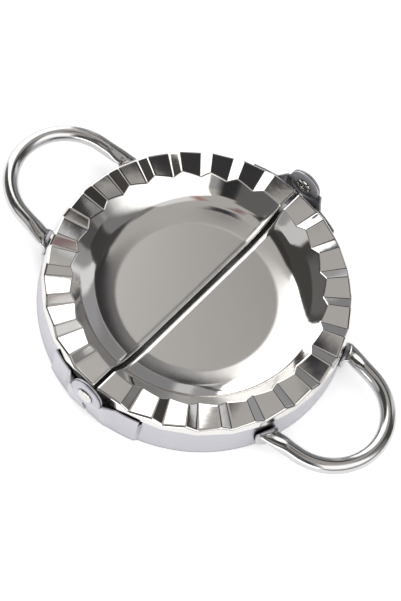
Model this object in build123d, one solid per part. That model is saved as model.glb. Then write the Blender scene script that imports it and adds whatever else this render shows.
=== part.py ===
"""Folding stainless dumpling press: two toothed half bowls hinged on two rivets, each with a tube handle.

Millimetres, +Z up. The origin is the centre of the cutting edge, on the surface that the open press
stands on. X runs along the hinge line and Y along the handles. The rear half (+Y) is modelled first.
The front half is the same set of pressings, turned half a turn about Z.
"""
from build123d import *
import math
import os

# ---- driving dimensions, millimetres and degrees ----
PLATE_SHEET = 0.6           # sheet of the press plates
BAND_SHEET = 0.6            # sheet of the cutter bands
PARTING_GAP = 1.0           # between the two halves when they lie open
RUNNING_GAP = 0.2           # between parts that slide past each other at the hinge
SEAT_GAP = 0.05             # left between a welded tongue and the band behind it

CREST_HEIGHT = 15.0         # tooth crests above the cutting edge
TOOTH_RISE = 1.2            # crest to valley
TOOTH_COUNT = 13            # steep faces on each half
TOOTH_PITCH = 12.8          # degrees round the rim
STEEP_SPAN = 4.2            # degrees taken by each steep face
LIP_RADIUS = 48.35          # bottom edge of the turned-down lip
LIP_FLARE = 0.6             # its top corner stands inside that radius, in a valley
CREST_SETBACK = 0.5         # and by this much more at a crest
LIP_DROP = 2.3              # lip edge below the crests, under a crest
LIP_WAVE = 0.6              # share of the tooth height that the lip edge follows
RIM_WIDTH = 9.95            # from the lip edge to the feet of the teeth
FOOT_DROP = 1.4             # that width is taken here, below the crests

WALL_RUN = 1.1              # run of the steep top of the bowl's wall for each millimetre of rise
STEEP_RUN = 4.6             # from the feet of the teeth to the middle of the wall's wide bend
GENTLE_RUN = 8.4            # from there to the edge of the floor
BOWL_DEPTH = 7.2            # floor below the crests
FLOOR_BEND = 6.0
WALL_BEND = 13.4
EDGE_DEPTH = 2.4            # turned-down edge along the fold line
EDGE_ROLL = 0.45            # outer bend radius of that edge

BAND_TOP_DROP = 2.3         # top edge of the band below the crests, behind the lip
BAND_INSET = 0.45           # its outer face inside the lip's valley corner, at that edge
BAND_FLARE = 1.6            # outer face at the cutting edge outside the same face at the top
JOGGLE_ANGLE = 20.6         # degrees from the hinge line where the band steps out from under the lip
JOGGLE_SPAN = 1.0           # degrees taken by that step
END_CLEARANCE = 0.15        # between the lip edge and the stepped-out ends of the band
END_FLARE = 0.5             # the ends' cutting edge outside their top edge
BAND_END_TOP_DROP = 2.5     # their top edge below the crests
RELIEF_SLOT_WIDTH = 0.9
RELIEF_SLOT_DEPTH = 3.2     # from the band's top edge

HINGE_DROP = 0.3            # hinge axis below the crests
EAR_RADIUS = 5.6
EAR_ROOT = 11.0             # degrees from the hinge line where the band turns into the ear
EAR_WIDTH = 6.5             # flat ear from the hinge line
EAR_SHOULDER_DROP = 1.0     # its top edge beside the round eye, below the crests
EAR_KNEE_DROP = 7.0         # it stands upright down to here and then leans in
EAR_TOE_IN = 0.2            # its cutting edge inside that of the band's stepped-out end
EAR_OFFSET = 1.1            # inner face of the inner ear outside the band's stepped-out end

RIVET_SHANK_RADIUS = 1.5
RIVET_CLEARANCE = 0.05      # radial, in the ear bores
RIVET_HEAD_RADIUS = 2.6
RIVET_HEAD_THICKNESS = 0.6
RIVET_CRIMP_RADIUS = 2.6
RIVET_CRIMP_THICKNESS = 0.5
RIVET_BORE_RADIUS = 0.95
RIVET_AXIAL_GAP = 0.1       # between the ears and the rivet's head and crimp
CRIMP_PETALS = 6
CRIMP_SLIT_WIDTH = 0.5

TUBE_RADIUS = 2.6
TUBE_WALL = 0.8
LEG_STRAIGHT = 2.8          # round part of each leg, between the loop and the flattened end
LEG_FLARE = 7.0             # degrees by which each leg spreads towards its foot
HANDLE_DROP = 6.7           # handle centre line below the crests
FOOT_ANGLE = 22.3           # degrees from the handle's middle to each foot
TONGUE_WIDTH = 7.4
TONGUE_BEND = 1.0           # inner bend radius of the weld tongue
TONGUE_END_HEIGHT = 0.7     # tongue's rounded end above the cutting edge
FLATTEN_LENGTH = 7.0        # length over which the tube is pressed flat

# ---- derived sizes ----
HALF_GAP = PARTING_GAP / 2
HINGE_HEIGHT = CREST_HEIGHT - HINGE_DROP
VALLEY_RADIUS = LIP_RADIUS - LIP_FLARE
FOOT_RADIUS = LIP_RADIUS - RIM_WIDTH
KNEE_RADIUS = FOOT_RADIUS - STEEP_RUN
KNEE_DROP = FOOT_DROP + STEEP_RUN / WALL_RUN
FLOOR_RADIUS = KNEE_RADIUS - GENTLE_RUN
BAND_TOP_RADIUS = VALLEY_RADIUS - BAND_INSET
BAND_BOTTOM_RADIUS = BAND_TOP_RADIUS + BAND_FLARE
END_TOP_RADIUS = LIP_RADIUS + END_CLEARANCE + BAND_SHEET
END_BOTTOM_RADIUS = END_TOP_RADIUS + END_FLARE
EAR_FOOT = END_BOTTOM_RADIUS - EAR_TOE_IN
INNER_EAR_FACE = END_TOP_RADIUS + EAR_OFFSET
OUTER_EAR_FACE = INNER_EAR_FACE + BAND_SHEET + RUNNING_GAP
EAR_BORE_RADIUS = RIVET_SHANK_RADIUS + RIVET_CLEARANCE
TONGUE_THICKNESS = 2 * TUBE_WALL
BEND_MIDDLE = TONGUE_BEND + TONGUE_THICKNESS / 2
BAND_LEAN = math.degrees(math.atan2(BAND_BOTTOM_RADIUS - BAND_TOP_RADIUS, CREST_HEIGHT - BAND_TOP_DROP))


def polar(radius, degrees, height):
    """Point at a radius and angle round the Z axis."""
    angle = math.radians(degrees)
    return Vector(radius * math.cos(angle), radius * math.sin(angle), height)


def offset_line(points, distance):
    """Points of a bent line moved sideways by a distance, to its right as it runs."""
    normals = []
    for (r0, z0), (r1, z1) in zip(points, points[1:]):
        length = math.hypot(r1 - r0, z1 - z0)
        normals.append(((z1 - z0) / length, -(r1 - r0) / length))
    befores = [normals[0]] + normals
    afters = normals + [normals[-1]]
    moved = []
    for (r, z), (ax, az), (bx, bz) in zip(points, befores, afters):
        stretch = distance / (1 + ax * bx + az * bz)
        moved.append((r + (ax + bx) * stretch, z + (az + bz) * stretch))
    return moved


def outline_face(corners):
    """Flat face from its corners."""
    return make_face(Polyline(*corners, close=True))


def radial_face(outline, degrees):
    """Face in the upright plane at an angle round Z, from radius and height pairs."""
    return outline_face([polar(r, degrees, z) for r, z in outline])


# ---- press plate ----
def tooth_stations():
    """Angle and level of each crease over the rim: crest and valley by turns, half height at the ends."""
    stations = [(0.0, TOOTH_RISE / 2)]
    for index in range(TOOTH_COUNT):
        centre = 90 + (index - (TOOTH_COUNT - 1) / 2) * TOOTH_PITCH
        stations.append((centre - STEEP_SPAN / 2, 0.0))
        stations.append((centre + STEEP_SPAN / 2, TOOTH_RISE))
    stations.append((180.0, TOOTH_RISE / 2))
    return stations


def tooth_face(level):
    """Top of the rim, out to its corner, where the tooth stands a level below the crests."""
    face = CREST_HEIGHT - level
    corner = VALLEY_RADIUS - CREST_SETBACK * (1 - level / TOOTH_RISE)
    return [(KNEE_RADIUS, face), (corner, face)]


def rim_outline(level, thickness):
    """Sheet of the rim and of the lip turned down from it."""
    lip_edge = (LIP_RADIUS, CREST_HEIGHT - LIP_DROP - LIP_WAVE * level)
    line = tooth_face(level) + [lip_edge]
    return line + offset_line(line, thickness)[::-1]


def room_outline(level):
    """Room above the rim."""
    inner, corner = tooth_face(level)
    over = CREST_HEIGHT + 2 * TOOTH_RISE
    return [inner, corner, (corner[0], over), (inner[0], over)]


def toothed(outlines):
    """Solid with flat faces from crease to crease, from its outline at each tooth station."""
    stations = tooth_stations()
    sections = [radial_face(outline, degrees) for outline, (degrees, level) in zip(outlines, stations)]
    return loft(sections, ruled=True)


def wall_line():
    """Upper surface of the bowl from the middle of its floor, its wall running on past the crests."""
    floor = CREST_HEIGHT - BOWL_DEPTH
    end = (FOOT_RADIUS + WALL_RUN * (FOOT_DROP + TOOTH_RISE), CREST_HEIGHT + TOOTH_RISE)
    return [(0, floor), (FLOOR_RADIUS, floor), (KNEE_RADIUS, CREST_HEIGHT - KNEE_DROP), end]


def bent_line(line, thickness):
    """The bowl's upper surface, or its underside a thickness below, with its bends."""
    radii = [bend + thickness for bend in (FLOOR_BEND, WALL_BEND)]
    return FilletPolyline(*[(r, 0, z) for r, z in offset_line(line, thickness)], radius=radii)


def half_turn(section):
    """Half a turn of a section about the bowl's axis."""
    return revolve(section, axis=Axis.Z, revolution_arc=180)


def bowl_hollow():
    """Room inside the bowl and above it."""
    inside = bent_line(wall_line(), 0)
    centre = Vector(0, 0, (inside @ 1).Z)
    return half_turn(make_face([inside, Line(inside @ 1, centre), Line(centre, inside @ 0)]))


def bowl_sheet(thickness):
    """Half bowl with its wall running on past the crests."""
    inside = bent_line(wall_line(), 0)
    outside = bent_line(wall_line(), thickness)
    ends = [Line(inside @ 0, outside @ 0), Line(inside @ 1, outside @ 1)]
    return half_turn(make_face([inside, outside] + ends))


def pressed_half(thickness):
    """Bowl and rim of one half, as deep as the thickness."""
    levels = [level for degrees, level in tooth_stations()]
    rim = toothed([rim_outline(level, thickness) for level in levels])
    room = toothed([room_outline(level) for level in levels])
    return (bowl_sheet(thickness) - room) + (rim - bowl_hollow())


def press_plate():
    """Rear press plate: the sheet, and the edge turned down along the parting line."""
    length = 4 * LIP_RADIUS
    align = (Align.CENTER, Align.MIN, Align.CENTER)
    behind = Pos(0, HALF_GAP, 0) * Box(length, length, length, align=align)
    edge = Pos(0, HALF_GAP, 0) * Box(length, PLATE_SHEET, length, align=align)
    plate = (pressed_half(PLATE_SHEET) & behind) + (pressed_half(EDGE_DEPTH) & edge)
    return fillet(parting_line(plate), EDGE_ROLL)


def parting_line(plate):
    """Edges between the plate's upper side and its parting face."""
    upper = [face for face in plate.faces() if face.normal_at().Z > 0.1]
    edges = ShapeList([edge for face in upper for edge in face.edges()])
    return edges.filter_by(lambda edge: all(abs((edge @ at).Y - HALF_GAP) < 0.01 for at in (0, 0.5, 1)))


# ---- cutter band ----
def sheet_section(outer):
    """Corners round the band's sheet from the offsets and heights of its outer face."""
    return outer + [(r - BAND_SHEET, z) for r, z in outer[::-1]]


def cone_line(top_radius, bottom_radius, top):
    """Outer face of the band from its top edge over the knee to the cutting edge."""
    knee = CREST_HEIGHT - EAR_KNEE_DROP
    slope = (bottom_radius - top_radius) / top
    return [(top_radius, top), (bottom_radius - slope * knee, knee), (bottom_radius, 0)]


def main_band():
    """Band under the lip, between the two steps."""
    line = cone_line(BAND_TOP_RADIUS, BAND_BOTTOM_RADIUS, CREST_HEIGHT - BAND_TOP_DROP)
    start = JOGGLE_ANGLE + JOGGLE_SPAN / 2
    section = radial_face(sheet_section(line), start)
    return revolve(section, axis=Axis.Z, revolution_arc=180 - 2 * start)


def ear_section(outer_face, y, top):
    """Section of the ear's sheet at a distance from the hinge line."""
    knee = CREST_HEIGHT - EAR_KNEE_DROP
    outline = sheet_section([(outer_face, top), (outer_face, knee), (EAR_FOOT, 0)])
    return outline_face([Vector(x, y, z) for x, z in outline])


def eye(outer_face):
    """Round end of the ear with its rivet hole."""
    blank = Cylinder(EAR_RADIUS, BAND_SHEET) - Cylinder(EAR_BORE_RADIUS, BAND_SHEET)
    return Pos(outer_face - BAND_SHEET / 2, 0, HINGE_HEIGHT) * Rot(0, 90, 0) * blank


def band_end(outer_face):
    """Stepped-out end of the band and its ear, on the +X side."""
    top = CREST_HEIGHT - BAND_END_TOP_DROP
    inside = cone_line(BAND_TOP_RADIUS, BAND_BOTTOM_RADIUS, CREST_HEIGHT - BAND_TOP_DROP)
    outside = cone_line(END_TOP_RADIUS, END_BOTTOM_RADIUS, top)
    first = JOGGLE_ANGLE + JOGGLE_SPAN / 2
    second = JOGGLE_ANGLE - JOGGLE_SPAN / 2
    near_face = radial_face(sheet_section(inside), first)
    far_face = radial_face(sheet_section(outside), second)
    step = loft([near_face, far_face], ruled=True)
    root = radial_face(sheet_section(outside), EAR_ROOT)
    arc = revolve(root, axis=Axis.Z, revolution_arc=second - EAR_ROOT)
    shoulder = CREST_HEIGHT - EAR_SHOULDER_DROP
    near = ear_section(outer_face, EAR_WIDTH, shoulder)
    end = ear_section(outer_face, HALF_GAP, shoulder)
    turn = loft([root, near], ruled=True)
    flat = loft([near, end], ruled=True)
    return (step - relief_slot()) + arc + turn + (flat - ear_hole(outer_face)) + eye(outer_face)


def ear_hole(outer_face):
    """Cutter for the rivet hole through one ear."""
    return Pos(outer_face, 0, HINGE_HEIGHT) * Rot(0, 90, 0) * Cylinder(EAR_BORE_RADIUS, 4 * BAND_SHEET)


def relief_slot():
    """Cutter for the slot that frees the lip where the band steps out."""
    top = CREST_HEIGHT - BAND_TOP_DROP
    blank = Box(6, RELIEF_SLOT_WIDTH, 2 * RELIEF_SLOT_DEPTH)
    return Rot(0, 0, JOGGLE_ANGLE) * Pos(END_TOP_RADIUS, 0, top) * blank


def cutter_band():
    """Rear cutter band: its inner ear on the right and its outer ear on the left."""
    right = band_end(INNER_EAR_FACE + BAND_SHEET)
    left = mirror(band_end(OUTER_EAR_FACE + BAND_SHEET), about=Plane.YZ)
    return main_band() + right + left


# ---- rivet ----
def on_hinge(x, shape):
    """Shape made along Z, set along the hinge line at a distance from the middle."""
    return Pos(x, 0, HINGE_HEIGHT) * Rot(0, 90, 0) * shape


def crimp():
    """Star of bent petals at the inner end of the tubular rivet."""
    star = Cylinder(RIVET_CRIMP_RADIUS, RIVET_CRIMP_THICKNESS)
    reach = RIVET_CRIMP_RADIUS - RIVET_SHANK_RADIUS
    slit = Pos(RIVET_SHANK_RADIUS + reach, 0, 0) * Box(reach, CRIMP_SLIT_WIDTH, 2 * RIVET_CRIMP_THICKNESS)
    for place in PolarLocations(0, CRIMP_PETALS):
        star -= place * slit
    return star


def rivet():
    """Tubular rivet on the +X side: domed head outside, star crimp inside."""
    inner_end = INNER_EAR_FACE - RIVET_AXIAL_GAP
    outer_end = OUTER_EAR_FACE + BAND_SHEET + RIVET_AXIAL_GAP
    middle = (inner_end + outer_end) / 2
    head = Cylinder(RIVET_HEAD_RADIUS, RIVET_HEAD_THICKNESS)
    rim = head.edges().filter_by(GeomType.CIRCLE).sort_by(Axis.Z)[-1]
    head = fillet(rim, RIVET_HEAD_THICKNESS * 0.7)
    shank = on_hinge(middle, Cylinder(RIVET_SHANK_RADIUS, outer_end - inner_end))
    body = shank + on_hinge(outer_end + RIVET_HEAD_THICKNESS / 2, head)
    body += on_hinge(inner_end - RIVET_CRIMP_THICKNESS / 2, crimp())
    bore_length = outer_end - inner_end + 2 * RIVET_CRIMP_THICKNESS
    return body - on_hinge(inner_end, Cylinder(RIVET_BORE_RADIUS, bore_length))


# ---- handle ----
def face_radius(height):
    """Band's outer face at a height, with the seat gap."""
    top = CREST_HEIGHT - BAND_TOP_DROP
    return BAND_BOTTOM_RADIUS + (BAND_TOP_RADIUS - BAND_BOTTOM_RADIUS) * height / top + SEAT_GAP


def bend_centre():
    """Radius and height of the axis that the weld tongue is bent round."""
    height = CREST_HEIGHT - HANDLE_DROP - BEND_MIDDLE
    outer_bend = TONGUE_BEND + TONGUE_THICKNESS
    return face_radius(height) + outer_bend / math.cos(math.radians(BAND_LEAN)), height


def leg_line():
    """Foot of the right-hand leg, its direction and the point where it meets the loop, in plan."""
    foot = polar(bend_centre()[0], 90 - FOOT_ANGLE, 0)
    along = Vector(0, 1, 0).rotate(Axis.Z, LEG_FLARE)
    return foot, along, foot + along * (FLATTEN_LENGTH + LEG_STRAIGHT)


def tube_section(place, radius):
    """Near-circular section with the eight edges that the flattened sections have too."""
    return place * RectangleRounded(2 * radius, 2 * radius, radius * 0.98)


def leg():
    """Flattened end of the right-hand leg, its bend and its weld tongue."""
    bend_height = bend_centre()[1]
    foot, along, _ = leg_line()
    out = polar(1, 90 - FOOT_ANGLE, 0)
    across = out.rotate(Axis.Z, -90)
    side = along.rotate(Axis.Z, -90)
    lift = Vector(0, 0, CREST_HEIGHT - HANDLE_DROP)
    near = Plane(foot + lift, x_dir=across, z_dir=out)
    halfway = Plane(foot + along * FLATTEN_LENGTH / 2 + lift, x_dir=side, z_dir=along)
    far = Plane(foot + along * FLATTEN_LENGTH + lift, x_dir=side, z_dir=along)
    flat = RectangleRounded(TONGUE_WIDTH, TONGUE_THICKNESS, TONGUE_THICKNESS * 0.4)
    half = RectangleRounded(TONGUE_WIDTH * 0.9, TUBE_RADIUS * 1.3, TUBE_RADIUS * 0.62)
    pressed = loft([near * flat, halfway * half, tube_section(far, TUBE_RADIUS)])
    pivot = foot + Vector(0, 0, bend_height)
    bend = revolve(near * flat, axis=Axis(pivot, across), revolution_arc=90 + BAND_LEAN)
    return pressed + bend + tongue(pivot, across, flat)


def tongue(pivot, across, flat):
    """Weld tongue against the band, with its rounded end down."""
    inward = -across.rotate(Axis.Z, 90)
    normal = inward.rotate(Axis(Vector(0, 0, 0), across), BAND_LEAN)
    top = pivot + normal * BEND_MIDDLE
    length = (top.Z - TONGUE_END_HEIGHT) / math.cos(math.radians(BAND_LEAN))
    strip = extrude(Plane(top, x_dir=across, z_dir=across.cross(normal)) * flat, length)
    round_end = Pos(0, TONGUE_WIDTH / 2 - length) * Circle(TONGUE_WIDTH / 2)
    above = Pos(0, TONGUE_WIDTH / 2) * Rectangle(2 * TONGUE_WIDTH, 2 * length)
    outline = Plane(top, x_dir=across, z_dir=normal) * (above + round_end)
    keep = extrude(outline, TONGUE_THICKNESS, both=True)
    return strip & keep


def loop():
    """Round tube of the loop and of both legs, down to where they are pressed flat."""
    foot, along, join = leg_line()
    lift = Vector(0, 0, CREST_HEIGHT - HANDLE_DROP)
    side = along.rotate(Axis.Z, -90)
    radius = join.X / side.X
    tip = Vector(0, join.Y - radius * side.Y + radius, 0) + lift
    end = foot + along * FLATTEN_LENGTH + lift
    near = join + lift
    path = Line(end, near) + ThreePointArc(near, tip, flipped(near)) + Line(flipped(near), flipped(end))
    plane = Plane(end, x_dir=side, z_dir=along)
    outside = sweep(tube_section(plane, TUBE_RADIUS), path)
    return outside - sweep(plane * Circle(TUBE_RADIUS - TUBE_WALL), path)


def flipped(point):
    """Point on the other side of the middle plane."""
    return Vector(-point.X, point.Y, point.Z)


def handle():
    """Rear handle."""
    right = leg()
    return loop() + right + mirror(right, about=Plane.YZ)


# ---- the eight pieces ----
def write(name, shape):
    """One STEP file for one piece."""
    export_step(shape, f"parts/{name}.step")


def main():
    os.makedirs("parts", exist_ok=True)
    turn = Rot(0, 0, 180)
    halves = (("press_plate", press_plate()), ("cutter_band", cutter_band()), ("handle", handle()))
    for name, shape in halves:
        write(name + "_rear", shape)
        write(name + "_front", turn * shape)
    write("hinge_rivet_right", rivet())
    write("hinge_rivet_left", turn * rivet())


if __name__ == "__main__":
    main()
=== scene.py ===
"""Looks of the folding stainless dumpling press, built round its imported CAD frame.

Every piece is a numpy surface in the frame's own place. Sizes in the dataclasses are millimetres and
degrees, and the meshes are metres.
"""

import logging
import math
from dataclasses import dataclass
from enum import Enum

import bpy
import numpy as np
from bpy.types import ID, Material, Mesh, Node, NodeSocket, NodeTree, Object, World
from mathutils import Matrix, Vector


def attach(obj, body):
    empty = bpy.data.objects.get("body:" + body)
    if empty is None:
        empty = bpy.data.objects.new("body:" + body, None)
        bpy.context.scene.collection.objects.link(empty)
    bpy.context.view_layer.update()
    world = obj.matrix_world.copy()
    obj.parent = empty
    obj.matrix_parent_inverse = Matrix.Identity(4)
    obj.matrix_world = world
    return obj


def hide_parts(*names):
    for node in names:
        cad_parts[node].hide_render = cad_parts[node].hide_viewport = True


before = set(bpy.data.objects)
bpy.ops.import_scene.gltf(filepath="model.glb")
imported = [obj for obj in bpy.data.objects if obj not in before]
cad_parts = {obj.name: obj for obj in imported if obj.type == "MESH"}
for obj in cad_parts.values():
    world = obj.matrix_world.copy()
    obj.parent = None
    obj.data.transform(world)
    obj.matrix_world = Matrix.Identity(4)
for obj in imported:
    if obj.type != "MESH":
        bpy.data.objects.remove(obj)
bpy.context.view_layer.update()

Array = np.ndarray
MM = 0.001
SHARP_TURN = 48.0  # degrees between two faces that shade as an edge
ARC_STEPS = 12  # pieces of each fillet
RUN_SHARES = np.array([[0.03], [0.35], [0.65], [0.97]])  # samples of each straight run between fillets
FILLET_LIMIT = 0.7  # share of a straight run that a fillet may take
log = logging.getLogger("press")


class Half(Enum):
    """The two halves: the degrees that each is turned about Z."""

    REAR = 0
    FRONT = 180

    @property
    def body(self) -> str:
        """CAD body of the half."""
        return f"{self.name.lower()}_half"


class Side(Enum):
    """The two ends of the hinge line: the degrees that each rivet is turned about Z."""

    RIGHT = 0
    LEFT = 180


# ---- surfaces
def turned(points: Array, degrees: float) -> Array:
    """Points turned about the Z axis.

    Args:
        points: n by 3 array.
        degrees: the turn, counter-clockwise from above.

    Returns:
        n by 3 array.
    """
    a = math.radians(degrees)
    spin = np.array([[math.cos(a), math.sin(a), 0.0], [-math.sin(a), math.cos(a), 0.0], [0.0, 0.0, 1.0]])
    return points @ spin


def between(a: float | Array, b: float | Array, share: Array) -> Array:
    """Values that lie shares of the way from a to b."""
    return a + (b - a) * share


def offset_line(corners: Array, distance: float) -> Array:
    """Bent lines moved sideways to their right, each corner along its mitre.

    Args:
        corners: lines by corners by 2.
        distance: how far each straight run moves.

    Returns:
        Array of the same shape.
    """
    run = np.diff(corners, axis=-2)
    run = run / np.linalg.norm(run, axis=-1, keepdims=True)
    normal = np.stack([run[..., 1], -run[..., 0]], axis=-1)
    before = np.concatenate([normal[..., :1, :], normal], axis=-2)
    after = np.concatenate([normal, normal[..., -1:, :]], axis=-2)
    stretch = distance / (1 + (before * after).sum(axis=-1, keepdims=True))
    return corners + (before + after) * stretch


def fillet_line(corners: Array, radii: list[float]) -> Array:
    """Bent lines with every inner corner replaced by a circular arc.

    Each arc is the rational quadratic curve on its corner and two tangent points, with the cosine of half
    the turn as the weight of the corner. Straight runs get four samples, two of them close to the ends, so
    that shading stays flat on them.

    Args:
        corners: lines by corners by 2.
        radii: one radius for each inner corner.

    Returns:
        lines by samples by 2.
    """
    run = np.diff(corners, axis=-2)
    length = np.linalg.norm(run, axis=-1, keepdims=True)
    run = run / length
    cosine = np.clip((run[..., :-1, :] * run[..., 1:, :]).sum(axis=-1, keepdims=True), -1, 1)
    half_turn = np.arccos(cosine) / 2
    reach = np.array(radii)[:, None] * np.tan(half_turn)
    reach = np.minimum(reach, FILLET_LIMIT * np.minimum(length[..., :-1, :], length[..., 1:, :]))
    t = np.linspace(0, 1, ARC_STEPS + 1)[:, None]
    middle = corners[..., 1:-1, :]
    entry, leave = middle - run[..., :-1, :] * reach, middle + run[..., 1:, :] * reach
    pieces = [corners[..., :1, :]]
    start = corners[..., :1, :]
    for i in range(len(radii)):
        stop = entry[..., i : i + 1, :]
        pieces.append(between(start, stop, RUN_SHARES))
        weight = np.cos(half_turn[..., i : i + 1, :])
        a, b, c = stop, middle[..., i : i + 1, :], leave[..., i : i + 1, :]
        below = (1 - t) ** 2 + 2 * t * (1 - t) * weight + t**2
        pieces.append(((1 - t) ** 2 * a + 2 * t * (1 - t) * weight * b + t**2 * c) / below)
        start = c
    pieces.append(between(start, corners[..., -1:, :], RUN_SHARES))
    pieces.append(corners[..., -1:, :])
    return np.concatenate(pieces, axis=-2)


def grid_faces(rows: int, columns: int, wrap: bool) -> Array:
    """Quads of a grid of points numbered row by row.

    Args:
        rows: number of rows.
        columns: number of columns.
        wrap: True if the last column joins the first.

    Returns:
        faces by 4.
    """
    r, c = np.meshgrid(np.arange(rows - 1), np.arange(columns if wrap else columns - 1), indexing="ij")
    n = (c + 1) % columns
    quads = [r * columns + c, r * columns + n, (r + 1) * columns + n, (r + 1) * columns + c]
    return np.stack(quads, axis=-1).reshape(-1, 4)


def zip_faces(start: int, count: int, flip: bool) -> Array:
    """Quads that close the end of a tube by joining the first half of its loop to the second half.

    Args:
        start: number of the loop's first point.
        count: points in the loop, an even number.
        flip: True to list each quad's corners the other way round.

    Returns:
        faces by 4.
    """
    i = np.arange(count // 2 - 1)
    quads = np.stack([i, count - 1 - i, count - 2 - i, i + 1], axis=-1) + start
    return quads[:, ::-1] if flip else quads


def tube_faces(rows: int, columns: int) -> Array:
    """Quads of a closed tube whose rows are loops. Those that zip its ends shut face into the tube."""
    ends = [zip_faces(0, columns, True), zip_faces((rows - 1) * columns, columns, False)]
    return np.concatenate([grid_faces(rows, columns, True), *ends])


@dataclass
class Surface:
    """Points in millimetres and the quads between them."""

    points: Array
    faces: Array

    def joined(self, other: "Surface") -> "Surface":
        """This surface and another as one."""
        faces = np.concatenate([self.faces, other.faces + len(self.points)])
        return Surface(np.concatenate([self.points, other.points]), faces)

    def mirrored(self) -> "Surface":
        """The surface on the other side of the middle plane, still facing outward."""
        return Surface(self.points * np.array([-1.0, 1.0, 1.0]), self.faces[:, ::-1])

    def outward(self) -> "Surface":
        """The same surface with its faces turned outward, told from the sign of the volume it holds.

        Returns:
            This surface or its reverse.
        """
        a, b, c, d = (self.points[self.faces[:, i]] for i in range(4))
        volume = (np.cross(a, b) * c).sum() + (np.cross(a, c) * d).sum()
        return self if volume > 0 else Surface(self.points, self.faces[:, ::-1])

    def mesh(self, name: str, degrees: float) -> Mesh:
        """Blender mesh of the surface, with coinciding points joined.

        Where two quads coincide, validate() leaves only one of them.

        Args:
            name: name of the mesh.
            degrees: turn about Z.

        Returns:
            The mesh, in metres.
        """
        places, number = np.unique(np.round(self.points, 5), axis=0, return_inverse=True)
        faces = number.reshape(-1)[self.faces]
        same = faces == np.roll(faces, -1, axis=1)
        whole, three = faces[same.sum(axis=1) == 0], faces[same.sum(axis=1) == 1]
        kept = three != np.roll(three, -1, axis=1)
        triangles = three[kept].reshape(-1, 3)
        mesh = bpy.data.meshes.new(name)
        mesh.from_pydata((turned(places, degrees) * MM).tolist(), [], whole.tolist() + triangles.tolist())
        mesh.validate()
        mesh.shade_smooth()
        mesh.set_sharp_from_angle(angle=math.radians(SHARP_TURN))
        return mesh


def put(name: str, data: ID, place: Matrix) -> Object:
    """Links a new object to the scene.

    Args:
        name: name of the object.
        data: its mesh, light or camera.
        place: where it stands.

    Returns:
        The object.
    """
    item = bpy.data.objects.new(name, data)
    item.matrix_world = place
    bpy.context.scene.collection.objects.link(item)
    return item


def add_piece(surface: Surface, node: str, degrees: float, body: str, finish: "Finish") -> None:
    """Puts one piece in the scene in place of its CAD node.

    Args:
        surface: the piece's surface.
        node: the CAD node it stands for.
        degrees: turn about Z.
        body: the CAD body it moves with.
        finish: what it is made of.
    """
    name = f"{node}_skin"
    piece = put(name, surface.mesh(name, degrees), Matrix())
    piece.data.materials.append(finish.material())
    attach(piece, body)
    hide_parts(node)
    log.info("%s: %d faces, stands for %s", name, len(piece.data.polygons), node)


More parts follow.
